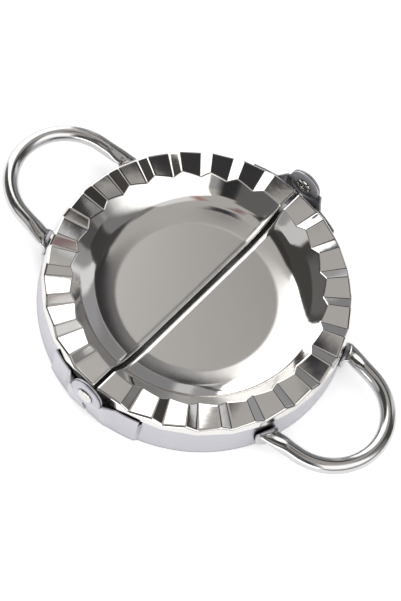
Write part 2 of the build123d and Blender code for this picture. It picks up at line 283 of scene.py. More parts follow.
# ---- press plate
@dataclass
class PressPlate:
    """One pressed half bowl with its toothed rim, lip and turned-down parting edge.

    Drops are measured down from the crests of the teeth, and a roll is the outer radius of the bend at the
    parting edge: one size in the bowl and a smaller one on the rim.
    """

    sheet: float = 0.6
    crest: float = 15.0
    half_gap: float = 0.5
    rise: float = 1.2
    teeth: int = 13
    pitch: float = 12.8
    steep: float = 4.2
    crease: float = 1.0
    lip_radius: float = 48.35
    lip_flare: float = 0.6
    setback: float = 0.5
    lip_drop: float = 2.3
    lip_wave: float = 0.6
    half_rim: float = 5.0
    end_step: float = 0.25
    foot_radius: float = 38.4
    foot_drop: float = 1.4
    flat_from: float = 2.0
    flat_blend: float = 5.0
    wall_run: float = 1.1
    knee_radius: float = 33.8
    floor_radius: float = 25.4
    floor_drop: float = 7.2
    floor_bend: float = 6.0
    wall_bend: float = 13.4
    upper_bends: tuple[float, float] = (0.8, 0.9)
    lower_bends: tuple[float, float] = (0.15, 0.25)
    deep_bends: tuple[float, float] = (0.1, 0.1)
    roll: float = 1.9
    rim_roll: float = 0.8
    edge_depth: float = 2.4
    edge_break: float = 0.12
    edge_step: float = 0.1
    roll_step: float = 0.15
    lip_share: float = 0.15
    lip_steps: float = 1.5

    def creases(self) -> tuple[Array, Array]:
        """Where the creases cross the rim.

        Returns:
            Angle of each crease in degrees, and its drop.
        """
        centre = 90 + (np.arange(self.teeth) - (self.teeth - 1) / 2) * self.pitch
        angles = np.stack([centre - self.steep / 2, centre + self.steep / 2], axis=-1).reshape(-1)
        drops = np.tile([0.0, self.rise], self.teeth)
        ends = np.array([self.rise / 2])
        return np.concatenate([[0.0], angles, [180.0]]), np.concatenate([ends, drops, ends])

    def columns(self) -> Array:
        """Angles at which the rim is sampled: close together at the creases, wide apart on the faces.

        Returns:
            The angles in degrees, in rising order.
        """
        angles, _ = self.creases()
        near = angles[1:-1, None] + self.crease * np.array([-0.9, -0.5, -0.3, -0.1, 0.1, 0.3, 0.5, 0.9])
        share = np.array([0.3, 0.5, 0.7])
        between = angles[:-1, None] + np.diff(angles)[:, None] * share
        start = math.degrees(math.asin((self.half_gap + self.rim_roll) / (self.lip_radius - self.half_rim)))
        ends = np.array([start, start + self.end_step, 180 - start - self.end_step, 180 - start])
        return np.unique(np.concatenate([ends, near.reshape(-1), between.reshape(-1)]))

    def rim(self, angles: Array) -> tuple[Array, Array]:
        """Drop of the rim below the crests, and its chord share of the full radius, at some angles.

        Both run straight from crease to crease, as flat faces do, and are then averaged over the width of a
        crease, which rounds each crease to an arc.

        Args:
            angles: degrees round the rim.

        Returns:
            The two arrays.
        """
        at, drop = self.creases()
        spread = angles[:, None] + self.crease * np.linspace(-0.5, 0.5, 9)
        index = np.clip(np.searchsorted(at, spread) - 1, 0, len(at) - 2)
        middle, half = (at[index] + at[index + 1]) / 2, (at[index + 1] - at[index]) / 2
        chord = np.cos(np.radians(half)) / np.cos(np.radians(spread - middle))
        return np.interp(spread, at, drop).mean(axis=1), chord.mean(axis=1)

    def corners(self, drop: Array) -> Array:
        """Upper side from the middle of the floor to the lip edge, as bent lines of radius and height.

        Args:
            drop: the rim's drop below the crests, one for each line.

        Returns:
            lines by corners by 2.
        """
        flat = np.zeros_like(drop)
        foot, face = self.crest - self.foot_drop, self.crest - drop
        inner = self.foot_radius + self.wall_run * (face - foot)
        outer = self.lip_radius - self.lip_flare - self.setback * (1 - drop / self.rise)
        edge = self.crest - self.lip_drop - self.lip_wave * drop
        middle = self.half_gap + self.roll
        radius = [middle, self.floor_radius, self.knee_radius, inner, outer, self.lip_radius]
        floor = self.crest - self.floor_drop
        knee = foot - (self.foot_radius - self.knee_radius) / self.wall_run
        height = [floor, floor, knee, face, face, edge]
        return np.stack([np.stack([r + flat, z + flat], axis=-1) for r, z in zip(radius, height)], axis=-2)

    def side(self, depth: float, bends: tuple[float, float], angles: Array) -> Array:
        """Points of the sheet at a depth below its upper side.

        Args:
            depth: how far below.
            bends: bend radius at the head of the wall and at the lip. Those in the bowl follow the depth.
            angles: degrees round the rim.

        Returns:
            samples along the section by angles by 3.
        """
        drop, chord = self.rim(angles)
        radii = [self.floor_bend + depth, self.wall_bend + depth, *bends]
        line = fillet_line(offset_line(self.corners(drop), depth), radii)
        first, second = line[:, :1], line[:, 1:2]
        near = np.array([0.0, 0.0005, 0.01, 0.05, 0.2, 0.5])[:, None]
        line = np.concatenate([between(first, second, near), line[:, 1:]], axis=1)
        radius, height = line[..., 0].T, line[..., 1].T
        blend = np.clip((radius - self.foot_radius - self.flat_from) / self.flat_blend, 0, 1)
        radius = radius * (1 - blend * (1 - chord))
        start = np.arcsin(self.bend_start(radius[:, :1]) / radius[:, :1])
        stop = math.pi - np.arcsin(self.bend_start(radius[:, -1:]) / radius[:, -1:])
        share = (angles - angles[0]) / (angles[-1] - angles[0])
        turn = between(start, stop, share)
        return np.stack([radius * np.cos(turn), radius * np.sin(turn), height], axis=-1)

    def bend_start(self, radius: Array) -> Array:
        """Distance from the parting line at which the edge starts to turn down, for each radius."""
        share = np.clip((radius - self.knee_radius) / (self.foot_radius - self.knee_radius), 0, 1)
        return self.half_gap + self.roll + (self.rim_roll - self.roll) * share

    def edge(self, upper: Array, lower: Array, deep: Array) -> tuple[Array, Array]:
        """Outer and inner side of the turned-down edge at one end of the rows, down to the bare edge.

        Each row is a quarter circle from the sheet, then straight down, with a small break at the end.

        Args:
            upper: end points of the upper side.
            lower: end points of the lower side.
            deep: the points that the bare edge reaches.

        Returns:
            Two arrays, rows by samples by 3.
        """
        turn = np.radians(np.linspace(9, 90, 10))
        roll = upper[:, 1:2] - self.half_gap
        inner_roll = roll - self.sheet
        straight = np.broadcast_to([self.edge_depth - self.edge_step, self.edge_depth], (len(roll), 2))
        last = np.concatenate([roll + self.roll_step, straight], axis=1)
        bare = np.array([0.0, 0.0, self.edge_break]) + 0 * roll
        y_out = np.concatenate([roll * (1 - np.sin(turn)), bare], axis=1) + self.half_gap
        d_out = np.concatenate([roll * (1 - np.cos(turn)), last], axis=1)
        y_in = np.concatenate([inner_roll * (1 - np.sin(turn)), -bare], axis=1) + self.half_gap + self.sheet
        d_in = np.concatenate([self.sheet + inner_roll * (1 - np.cos(turn)), last], axis=1)
        fall = (deep - upper)[:, None, :] * np.array([1.0, 0.0, 1.0]) / self.edge_depth
        outer = upper[:, None, :] + fall * d_out[..., None]
        inner = upper[:, None, :] + fall * d_in[..., None]
        share = np.clip((roll - d_in) / inner_roll, 0, 1)[..., None]
        level = upper[:, None, :] + fall * self.sheet
        inner = inner + (lower[:, None, :] - level) * np.array([1.0, 0.0, 1.0]) * share
        outer[..., 1], inner[..., 1] = y_out, y_in
        return outer, inner

    def surface(self) -> Surface:
        """The whole sheet as one tube.

        Each row is the loop over the upper side, round both turned-down edges and back along the lower side,
        and the rows run from the middle of the floor to the lip edge, where the last one narrows the sheet.

        Returns:
            The closed surface.
        """
        angles = self.columns()
        upper = self.side(0.0, self.upper_bends, angles)
        lower = self.side(self.sheet, self.lower_bends, angles)
        deep = self.side(self.edge_depth, self.deep_bends, angles)
        across = (lower[-1:] - upper[-1:]) * self.lip_share
        burr = upper[-1:] + across + (upper[-1:] - upper[-2:-1]) * self.lip_steps
        inner_burr = lower[-1:] - across + (lower[-1:] - lower[-2:-1]) * self.lip_steps
        deep = np.concatenate([deep, deep[-1:] + (burr - upper[-1:])])
        upper, lower = np.concatenate([upper, burr]), np.concatenate([lower, inner_burr])
        right_out, right_in = self.edge(upper[:, 0], lower[:, 0], deep[:, 0])
        left_out, left_in = self.edge(upper[:, -1], lower[:, -1], deep[:, -1])
        first = [right_out[:, ::-1], upper, left_out]
        second = [left_in[:, ::-1], lower[:, ::-1], right_in]
        loops = np.concatenate(first + second, axis=1)
        rows, columns = loops.shape[:2]
        return Surface(loops.reshape(-1, 3), tube_faces(rows, columns)).outward()


# ---- cutter band
@dataclass
class CutterBand:
    """Sheet half ring under the lip, with a stepped-out end and a hinge ear at each side."""

    sheet: float = 0.6
    top: float = 12.7
    top_radius: float = 47.3
    bottom_radius: float = 48.9
    end_top: float = 12.5
    end_top_radius: float = 49.1
    end_bottom_radius: float = 49.6
    step: float = 20.6
    step_span: float = 1.0
    root: float = 11.0
    slot_floor: float = 9.5
    half_gap: float = 0.5
    ear_width: float = 6.5
    shoulder: float = 14.0
    knee: float = 8.0
    ear_foot: float = 49.4
    inner_face: float = 50.2
    running_gap: float = 0.2
    eye: float = 5.6
    eye_overlap: float = 0.3
    bore: float = 1.55
    hinge: float = 14.7
    corner: float = 0.1
    knee_bend: float = 0.02

    def section(self) -> tuple[Array, Array, Array]:
        """One loop round the sheet, with its four corners broken.

        Returns:
            Depth from the outer face, share of the height, and an offset in height.
        """
        share = np.array([1.0, 0.96, 0.85, 0.7, 0.55, 0.45, 0.3, 0.15, 0.04, 0.0])
        lift = np.zeros(len(share))
        lift[[0, -1]] = -self.corner, self.corner
        outside = np.concatenate([[self.corner], 0 * share, [self.corner]])
        depth = np.concatenate([outside, self.sheet - outside])
        shares = np.concatenate([[1.0], share, [0.0, 0.0], share[::-1], [1.0]])
        lifts = np.concatenate([[0.0], lift, [0.0, 0.0], lift[::-1], [0.0]])
        return depth, shares, lifts

    def cone(self, top_radius: float, bottom_radius: float, top: float, z: Array) -> Array:
        """Radii at heights z of a cone, from its radii at its top edge and at height 0."""
        return bottom_radius + (top_radius - bottom_radius) * z / top

    def ear_x(self, outer_face: float, z: Array) -> Array:
        """Outer face of the ear: upright above the knee, leaning in below it.

        Args:
            outer_face: its distance from the middle plane above the knee.
            z: heights.

        Returns:
            Distances from the middle plane.
        """
        lean = np.clip(1 - z / self.knee, 0, 1)
        soft = np.hypot(lean, self.knee_bend) - self.knee_bend
        return outer_face - (outer_face - self.ear_foot) * soft

    def end(self, outer_face: float) -> Surface:
        """Stepped-out end and ear on the +X side, without the ear's round eye.

        Rows run from the parting line round to the step. A row's outer line is the ear's, the cone's or a
        blend of the two, and its inner line is moved by the sheet along the level normal, taken from the
        neighbouring rows.

        Args:
            outer_face: distance of the ear's outer face from the middle plane.

        Returns:
            The closed surface.
        """
        depth, share, lift = self.section()
        flat_y = np.array([self.half_gap, 0.8, 1.6, 2.4, 3.2, 4.0, 4.6, 5.0, 5.3, 5.5, 5.58, 5.8, 6.1])
        bend = np.array([0.02, 0.1, 0.25, 0.5, 0.75, 0.9, 0.98])
        arc = np.radians(np.linspace(self.root, self.step - self.step_span / 2 - 0.03, 12))
        inside = self.step + self.step_span / 2
        jog = np.array([0.0, 0.25, 0.5, 0.75, 1.0])
        a, b, c, count = np.cumsum([len(flat_y), len(bend), len(arc), len(jog)])
        seam = self.eye - self.eye_overlap
        arch = self.hinge - np.sqrt(np.clip(seam**2 - flat_y**2, 0, None))
        under = np.where(flat_y < seam, np.minimum(arch, self.shoulder), self.shoulder)
        ease = bend * bend * (3 - 2 * bend)
        slope = between(self.shoulder, self.end_top, ease)
        level = np.repeat([self.end_top, self.slot_floor], [len(arc), len(jog)])
        z = np.concatenate([under, slope, level])[:, None] * share + lift
        outline = np.zeros((count, len(share), 2))
        outline[:a, :, 0], outline[:a, :, 1] = self.ear_x(outer_face, z[:a]), flat_y[:, None]
        start = np.stack([self.ear_x(outer_face, z[a:b]), np.full_like(z[a:b], self.ear_width)], axis=-1)
        radius = self.cone(self.end_top_radius, self.end_bottom_radius, self.end_top, z)
        stop = radius[a:b, :, None] * np.array([math.cos(arc[0]), math.sin(arc[0])])
        outline[a:b] = between(start, stop, bend[:, None, None])
        outline[b:c] = radius[b:c, :, None] * np.stack([np.cos(arc), np.sin(arc)], axis=-1)[:, None, :]
        inner_radius = self.cone(self.top_radius, self.bottom_radius, self.top, z[c:])
        wide = between(radius[c:], inner_radius, jog[:, None])
        turn = np.radians(inside - self.step_span * (1 - jog))
        outline[c:] = wide[..., None] * np.stack([np.cos(turn), np.sin(turn)], axis=-1)[:, None, :]
        return self.thick(outline, z, depth)

    def thick(self, outline: Array, z: Array, depth: Array) -> Surface:
        """Closed sheet from the plan of its outer face.

        Args:
            outline: rows by section samples by 2, the outer face in plan.
            z: heights of the same samples.
            depth: how far each section sample lies behind the outer face.

        Returns:
            The surface.
        """
        run = np.gradient(outline, axis=0)
        run = run / np.linalg.norm(run, axis=-1, keepdims=True)
        plan = outline + np.stack([-run[..., 1], run[..., 0]], axis=-1) * depth[:, None]
        points = np.concatenate([plan, z[..., None]], axis=-1)
        return Surface(points.reshape(-1, 3), tube_faces(*z.shape)).outward()

    def main(self) -> Surface:
        """The part under the lip, between the two steps.

        Returns:
            The closed surface.
        """
        depth, share, lift = self.section()
        start = self.step + self.step_span / 2
        turn = np.radians(np.linspace(start, 180 - start, 150))
        z = np.full((len(turn), 1), self.top) * share + lift
        radius = self.cone(self.top_radius, self.bottom_radius, self.top, z)
        outline = radius[..., None] * np.stack([np.cos(turn), np.sin(turn)], axis=-1)[:, None, :]
        return self.thick(outline, z, depth)

    def ring(self, outer_face: float) -> Surface:
        """Round eye of the ear on the +X side, as a lathed ring about the hinge line.

        Args:
            outer_face: distance of its outer face from the middle plane.

        Returns:
            The closed surface.
        """
        r = [self.bore, self.bore, self.bore + 0.06, 2.6, 4.0, self.eye - 0.12, self.eye - 0.03, self.eye]
        x = [0.3, 0.06, 0.0, 0.0, 0.0, 0.0, 0.03, 0.12]
        radius = np.array(r + r[::-1])
        depth = np.array(x + [self.sheet - v for v in x[::-1]])
        turn = np.linspace(0, 2 * math.pi, 97)[:-1]
        y, z = np.cos(turn)[:, None] * radius, np.sin(turn)[:, None] * radius + self.hinge
        points = np.stack([np.broadcast_to(outer_face - depth, y.shape), y, z], axis=-1)
        rows, columns = y.shape
        rounds = np.concatenate([points, points[:1]])
        return Surface(rounds.reshape(-1, 3), grid_faces(rows + 1, columns, True)).outward()

    def surface(self) -> Surface:
        """Both ends, both eyes and the main part.

        Returns:
            The whole band.
        """
        inner = self.inner_face + self.sheet
        outer = inner + self.running_gap + self.sheet
        right = self.end(inner).joined(self.ring(inner))
        left = self.end(outer).joined(self.ring(outer)).mirrored()
        return self.main().joined(right).joined(left)


# ---- handle
@dataclass
class Handle:
    """Round tube bent to a loop, with both ends pressed flat and turned down as weld tongues."""

    tube: float = 2.6
    height: float = 8.3
    foot_angle: float = 22.3
    leg_flare: float = 7.0
    leg_straight: float = 2.8
    flatten: float = 7.0
    half_width: float = 3.7
    half_thick: float = 0.8
    elbow_width: float = 3.1
    elbow_thick: float = 1.5
    bend: float = 1.0
    end_height: float = 0.7
    face_top: float = 47.35
    face_bottom: float = 48.95
    face_height: float = 12.7

    def half_path(self) -> list[Array]:
        """Centre line of the right half from the tongue's end to the loop's tip.

        Returns:
            Centre points, width directions, half widths, half thicknesses and squareness of the section,
            which is 2 for an ellipse and more for a box with round corners.
        """
        lean = math.atan2(self.face_bottom - self.face_top, self.face_height)
        mid = self.bend + self.half_thick
        pivot_z = self.height - mid
        radial = self.face_bottom + (self.face_top - self.face_bottom) * pivot_z / self.face_height
        radial += (self.bend + 2 * self.half_thick) / math.cos(lean)
        spot = math.radians(90 - self.foot_angle)
        out = np.array([math.cos(spot), math.sin(spot), 0.0])
        across, up = np.array([out[1], -out[0], 0.0]), np.array([0.0, 0.0, 1.0])
        foot = out * radial
        flare = math.radians(self.leg_flare)
        side = np.array([math.cos(flare), math.sin(flare), 0.0])
        along = np.array([-side[1], side[0], 0.0])
        # Tongue, from its end up to the bend.
        down = out * math.sin(lean) - up * math.cos(lean)
        inward = -out * math.cos(lean) - up * math.sin(lean)
        top = foot + up * pivot_z + inward * mid
        length = (top[2] - self.end_height) / math.cos(lean)
        tip = self.half_width * (1 - np.cos(np.linspace(0, math.pi / 2, 14)))
        s = np.concatenate([tip, [length * 0.8, length * 0.95]])
        tongue = top + down * (length - s)[:, None]
        width = self.half_width * np.sqrt(1 - np.clip(1 - s / self.half_width, 0, 1) ** 2)
        # Bend about the foot's axis.
        turn = np.linspace(math.pi / 2 + lean, 0, 14)[:, None]
        curve = foot + up * pivot_z + mid * (up * np.cos(turn) - out * np.sin(turn))
        # Pressed length, from flat to round.
        u = np.linspace(0, 1, 26)[1:, None]
        press = foot + up * self.height + along * self.flatten * u
        ease = (u * u * (3 - 2 * u))[:, 0]
        spin = between(across, side, ease[:, None])
        # Round leg and a quarter of the loop.
        join = foot + up * self.height + along * (self.flatten + self.leg_straight)
        leg = between(press[-1], join, np.array([0.33, 0.66])[:, None])
        radius = join[0] / side[0]
        centre = join - side * radius
        swing = np.linspace(flare, math.pi / 2, 48)[:, None]
        around = np.concatenate([np.cos(swing), np.sin(swing), np.zeros_like(swing)], axis=1)
        arc = centre + around * radius
        # Each part's points, width directions, half widths, half thicknesses and squareness.
        elbow = np.linspace(0, 1, 14) ** 2
        parts = [
            (tongue, across, width, self.half_thick, 3),
            (curve, across, between(self.half_width, self.elbow_width, elbow),
             between(self.half_thick, self.elbow_thick, elbow), 3 - elbow),
            (press, spin, between(self.elbow_width, self.tube, ease),
             between(self.elbow_thick, self.tube, ease), 2),
            (leg, side, self.tube, self.tube, 2),
            (arc, around, self.tube, self.tube, 2),
        ]
        centres = np.concatenate([part[0] for part in parts])
        sides = np.concatenate([part[1] + 0 * part[0] for part in parts])
        sizes = [np.concatenate([part[i] + np.zeros(len(part[0])) for part in parts]) for i in (2, 3, 4)]
        return [centres, sides, *sizes]

    def surface(self) -> Surface:
        """The whole handle as one tube of superellipse sections.

        In each section |x/a| to the power n plus |y/b| to the power n is 1.

        Returns:
            The closed surface.
        """
        half = self.half_path()
        flip = np.array([-1.0, 1.0, 1.0])
        centre = np.concatenate([half[0], (half[0] * flip)[-2::-1]])
        side = np.concatenate([half[1], (half[1] * flip)[-2::-1]])
        wide, thick, square = (np.concatenate([v, v[-2::-1]])[:, None] for v in half[2:])
        run = np.gradient(centre, axis=0)
        side = side / np.linalg.norm(side, axis=1, keepdims=True)
        normal = np.cross(side, run)
        normal = normal / np.linalg.norm(normal, axis=1, keepdims=True)
        turn = (np.arange(56) + 0.5) * 2 * math.pi / 56
        cosine, sine = np.cos(turn), np.sin(turn)
        x = wide * np.sign(cosine) * np.abs(cosine) ** (2 / square)
        y = thick * np.sign(sine) * np.abs(sine) ** (2 / square)
        points = centre[:, None, :] + side[:, None, :] * x[..., None] + normal[:, None, :] * y[..., None]
        return Surface(points.reshape(-1, 3), tube_faces(*x.shape)).outward()


# ---- rivet
@dataclass
class Rivet:
    """Tubular rivet on the hinge line: dimpled head outside, six bent petals inside."""

    shank: float = 1.5
    bore: float = 0.95
    head: float = 2.6
    head_thick: float = 0.6
    crimp: float = 2.6
    crimp_thick: float = 0.5
    petals: int = 6
    petal_split: float = 0.55
    split_depth: float = 0.8
    inner_end: float = 50.1
    outer_end: float = 51.7
    hinge: float = 14.7

    def surface(self) -> Surface:
        """One lathed profile of radius and place along the hinge line.

        Between the petals each radius of the crimp is drawn in by a share that is 1 less the root of the
        sine of half the turn's sixfold angle, which makes six round-ended leaves.

        Returns:
            The closed surface.
        """
        bore, shank, rim, head = self.bore, self.shank, self.crimp, self.head
        inner, outer = self.inner_end, self.outer_end
        face, top = inner - self.crimp_thick, outer + self.head_thick
        profile = np.array([
            [0.0, outer - 0.1], [bore * 0.9, outer - 0.1], [bore, outer - 0.2], [bore, face + 0.3],
            [bore + 0.04, face + 0.12], [bore + 0.16, face + 0.02], [bore + 0.35, face],
            [shank + 0.2, face + 0.03], [rim - 0.45, face + 0.12], [rim - 0.15, face + 0.26],
            [rim, face + 0.4], [rim - 0.04, inner - 0.02], [rim - 0.2, inner], [shank + 0.1, inner],
            [shank, inner + 0.1], [shank, outer - 0.1], [shank + 0.1, outer], [head - 0.15, outer],
            [head - 0.02, outer + 0.08], [head - 0.05, outer + 0.2], [head - 0.3, outer + 0.42],
            [head - 0.6, top - 0.04], [head - 0.9, top], [head - 1.2, top - 0.05],
            [head - 1.5, top - 0.25], [head * 0.25, top - 0.34], [0.0, top - 0.36],
        ])
        crimp = slice(7, 14)
        leaf = np.zeros(len(profile))
        leaf[crimp] = [0.25, 0.7, 0.95, 1.0, 1.0, 0.9, 0.3]
        turn = np.linspace(0, 2 * math.pi, 121)
        gap = np.abs(np.sin(self.petals * turn / 2))
        pull = 1 - np.sqrt(np.clip(gap / self.petal_split, 0, 1))
        reach = (rim - shank) * self.split_depth
        radius = profile[:, 0] - pull[:, None] * leaf * reach
        radius[:, crimp] = np.maximum(radius[:, crimp], shank + 0.02)
        y = np.cos(turn)[:, None] * radius
        z = np.sin(turn)[:, None] * radius + self.hinge
        points = np.stack([np.broadcast_to(profile[:, 1], y.shape), y, z], axis=-1)
        return Surface(points.reshape(-1, 3), grid_faces(*y.shape, False)).outward()


# ---- finishes
def rgba(colour: str) -> tuple[float, float, float, float]:
    """Linear colour of an sRGB hex colour.

    Args:
        colour: such as "#a0b0c0".

    Returns:
        Red, green, blue and alpha.
    """
    parts = np.array([int(colour[i : i + 2], 16) for i in (1, 3, 5)]) / 255
    linear = np.where(parts <= 0.04045, parts / 12.92, ((parts + 0.055) / 1.055) ** 2.4)
    return (float(linear[0]), float(linear[1]), float(linear[2]), 1.0)


def empty_tree(owner: Material | World) -> NodeTree:
    """Turns on the nodes of a material or world, and clears them.

    Args:
        owner: the material or world.

    Returns:
        Its node tree.
    """
    owner.use_nodes = True
    owner.node_tree.nodes.clear()
    return owner.node_tree


def add_node(tree: NodeTree, kind: str, links: dict, **settings: object) -> Node:
    """Adds one node.

    Args:
        tree: the node tree.
        kind: node type, without "ShaderNode".
        links: input name or number to a value, another node's output, or a node for its first output.
        settings: the node's own properties.

    Returns:
        The node.
    """
    node = tree.nodes.new("ShaderNode" + kind)
    for key, value in settings.items():
        setattr(node, key, value)
    for key, value in links.items():
        if isinstance(value, Node):
            value = value.outputs[0]
        if isinstance(value, NodeSocket):
            tree.links.new(value, node.inputs[key])
        else:
            node.inputs[key].default_value = value
    return node


def ramp(
    tree: NodeTree, value: Node | NodeSocket, old: tuple[float, float],
    new: tuple[float, float] = (0.0, 1.0), ease: str = "LINEAR",
) -> Node:
    """Adds a node that takes one range of a value to another, and holds the ends.

    Args:
        tree: the node tree.
        value: where the value comes from.
        old: the range it has.
        new: the range it gets.
        ease: Blender's name for the way between the ends.

    Returns:
        The node.
    """
    links = {"Value": value, "From Min": old[0], "From Max": old[1], "To Min": new[0], "To Max": new[1]}
    return add_node(tree, "MapRange", links, interpolation_type=ease)


# Painted shade in creases and slots: near black where metal this near, in millimetres, leaves a point less
# than
# these shares of its sky: all of it at the first share and none at the second.
CREASE_SHADE_REACH = 0.7
CREASE_SHADE_SHARES = (0.6, 0.96)
CREASE_SHADE = "#1c1b1a"
NOISE_RANGE = (0.3, 0.7)  # values that noise seldom leaves


class Zone(Enum):
    """Where a finish is satin: the axes that count, and the millimetres at which it is full and gone."""

    FLOOR = ((1.0, 1.0, 0.0), 25.5, 31.5)
    EARS = ((0.0, 0.0, 1.0), 13.6, 12.4)


@dataclass(frozen=True)
class Finish:
    """A bare metal finish, with sizes in millimetres.

    The colour is the metal's own, with painted shade, near black, in slots and creases. Roughness varies a
    little over patches of the given size, and the bump is the shallow ripple that polishing leaves.
    """

    name: str
    slot: str
    colour: str
    roughness: float
    spread: float
    patch: float
    ripple: float
    ripple_size: float
    satin: float = 0.0
    zone: Zone | None = None

    def material(self) -> Material:
        """The finish as a material, made once.

        Returns:
            The material.
        """
        if self.name in bpy.data.materials:
            return bpy.data.materials[self.name]
        made = bpy.data.materials.new(self.name)
        tree = empty_tree(made)
        place = add_node(tree, "TexCoord", {}).outputs["Object"]
        wear = add_node(tree, "TexNoise", {"Vector": place, "Scale": 1 / (self.patch * MM), "Detail": 4.0})
        span = (self.roughness - self.spread, self.roughness + self.spread)
        rough = ramp(tree, wear, NOISE_RANGE, span)
        if self.zone:
            rough = self.satin_zone(tree, place, rough)
        grain = {"Vector": place, "Scale": 1 / (self.ripple_size * MM), "Detail": 2.0}
        wave = add_node(tree, "TexNoise", grain)
        bump = add_node(tree, "Bump", {"Height": wave, "Strength": 1.0, "Distance": self.ripple * MM})
        # Painted shade: the colour turns near black where ambient occlusion finds a crease or slot.
        near = add_node(tree, "AmbientOcclusion", {"Distance": CREASE_SHADE_REACH * MM}, samples=16)
        unshaded = ramp(tree, near.outputs["AO"], CREASE_SHADE_SHARES)
        tone = add_node(tree, "Mix", {
            "Factor": unshaded, 6: rgba(CREASE_SHADE), 7: rgba(self.colour),
        }, data_type="RGBA").outputs[2]
        shader = add_node(tree, "BsdfPrincipled", {
            "Base Color": tone, "Metallic": 1.0, "Roughness": rough, "Normal": bump,
        })
        add_node(tree, "OutputMaterial", {"Surface": shader})
        return made

    def satin_zone(self, tree: NodeTree, place: NodeSocket, rough: Node) -> Node:
        """Roughness that rises to satin in the finish's zone.

        Args:
            tree: the node tree.
            place: object coordinates.
            rough: the node that gives the roughness elsewhere.

        Returns:
            The node that gives the roughness.
        """
        axes, near, far = self.zone.value
        part = add_node(tree, "VectorMath", {0: place, 1: axes}, operation="MULTIPLY")
        reach = add_node(tree, "VectorMath", {0: part}, operation="LENGTH")
        inside = ramp(tree, reach.outputs["Value"], (near * MM, far * MM), (1.0, 0.0), "SMOOTHSTEP")
        return add_node(tree, "Mix", {"Factor": inside, 2: rough, 3: self.satin}, data_type="FLOAT")


# Stainless sheet, deep drawn and then buffed to a mirror. The punch leaves the bowls' flat floor satin.
PLATE = Finish(
    name="stainless_sheet_mirror_polished", slot="plate_steel", colour="#dbd9d6",
    roughness=0.07, spread=0.02, patch=6.0, ripple=0.014, ripple_size=5.0, satin=0.27, zone=Zone.FLOOR,
)
# Stainless strip as it comes bright from the rolling mill, bent and spot-welded. The tool dulls the ears.
BAND = Finish(
    name="stainless_strip_bright_rolled", slot="band_steel", colour="#bfbec4",
    roughness=0.32, spread=0.04, patch=4.0, ripple=0.01, ripple_size=6.0, satin=0.55, zone=Zone.EARS,
)
# Stainless tube, bent and buffed.
TUBE = Finish(
    name="stainless_tube_buffed", slot="handle_steel", colour="#c8c7c6",
    roughness=0.15, spread=0.03, patch=5.0, ripple=0.012, ripple_size=4.0,
)
# Drawn stainless tubular rivet, set cold and left plain.
PLAIN = Finish(
    name="stainless_rivet_plain", slot="rivet_steel", colour="#d2d0cc",
    roughness=0.18, spread=0.04, patch=1.5, ripple=0.003, ripple_size=0.8,
)


# ---- camera, floor and light
@dataclass(frozen=True)
class Viewpoint:
    """Where the camera stands: degrees, millimetres and the lens for a 36 mm long side."""

    azimuth: float = -64.506
    elevation: float = 63.045
    roll: float = 17.895
    distance: float = 634.14
    right: float = 0.209
    down: float = 4.634
    target_height: float = 15.0
    lens: float = 124.06

    def camera(self) -> None:
        """Creates the scene's camera."""
        a, e, s = (math.radians(v) for v in (self.azimuth, self.elevation, self.roll))
        back = Vector((math.sin(a) * math.cos(e), -math.cos(a) * math.cos(e), math.sin(e)))
        level = (-back).cross(Vector((0, 0, 1))).normalized()
        upright = level.cross(-back)
        right = level * math.cos(s) + upright * math.sin(s)
        up = upright * math.cos(s) - level * math.sin(s)
        spot = back * self.distance + right * self.right - up * self.down + Vector((0, 0, self.target_height))
        data = bpy.data.cameras.new("camera")
        data.lens, data.sensor_width, data.clip_start, data.clip_end = self.lens, 36.0, 0.01, 20.0
        turn = Matrix((right, up, back)).transposed().to_4x4()
        bpy.context.scene.camera = put("camera", data, Matrix.Translation(spot * MM) @ turn)


def flat_mesh(name: str, wide: float, high: float) -> Mesh:
    """Rectangle about the origin, facing +Z.

    Args:
        name: name of the mesh.
        wide: its size along X in metres.
        high: its size along Y.

    Returns:
        The mesh.
    """
    mesh = bpy.data.meshes.new(name)
    corners = [(x * wide / 2, y * high / 2, 0) for x, y in ((-1, -1), (1, -1), (1, 1), (-1, 1))]
    mesh.from_pydata(corners, [], [(0, 1, 2, 3)])
    return mesh


def white_backdrop(tree: NodeTree) -> Node:
    """Tells the rays that show the backdrop: those of the camera and of mirror-like reflections.

    Args:
        tree: the node tree.

    Returns:
        A node that gives 1 for such rays and 0 for others.
    """
    rays = add_node(tree, "LightPath", {}).outputs
    seen = add_node(tree, "Math", {0: rays["Is Camera Ray"], 1: rays["Is Glossy Ray"]}, operation="MAXIMUM")
    return add_node(tree, "Math", {0: seen, 1: rays["Is Transmission Ray"]}, operation="MAXIMUM")


